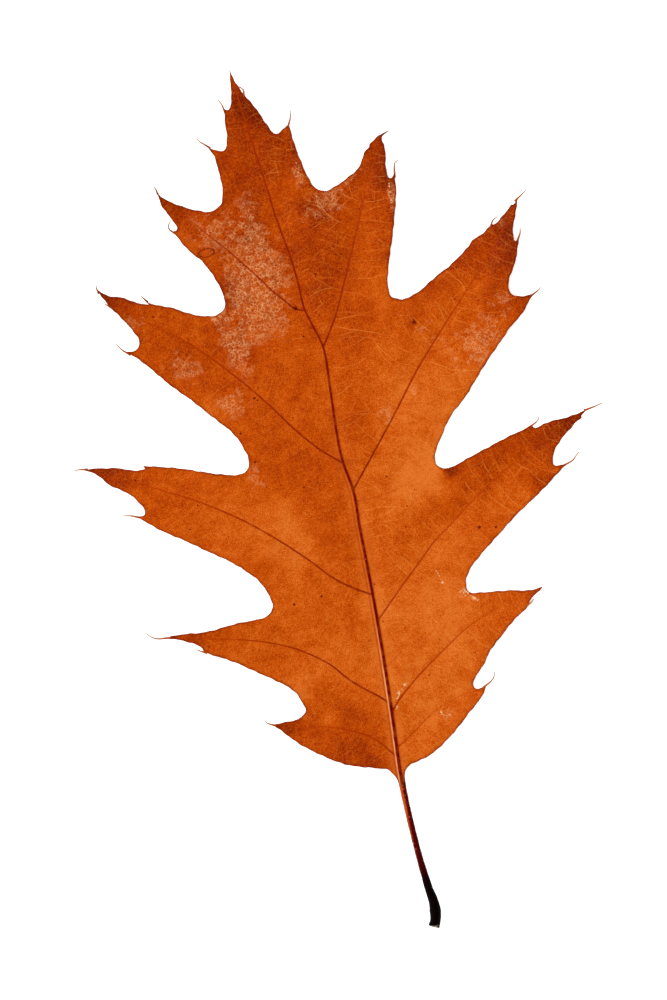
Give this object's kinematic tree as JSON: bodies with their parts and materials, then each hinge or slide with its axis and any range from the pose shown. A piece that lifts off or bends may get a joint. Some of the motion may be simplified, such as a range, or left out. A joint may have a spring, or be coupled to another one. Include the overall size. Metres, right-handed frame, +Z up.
{
  "type": "oak leaf",
  "caption": "Dry autumn red oak leaf with pointed, bristle-tipped lobes, branching veins and its stalk, lying flat with its upper face up.",
  "frame": {"origin": "middle of the leaf's outline seen from above, on the surface that it lies on", "axes": "+Y from the end of the stalk towards the leaf's tip, +X to the right with the upper face towards the viewer, +Z up out of the upper face"},
  "size_m": [0.1178, 0.1962, 0.0062],
  "materials": {
    "leaf": "dry orange-brown leaf, satin above and matt below"
  },
  "bodies": {
    "root": {"oak_leaf": "leaf"}
  },
  "joints": []
}
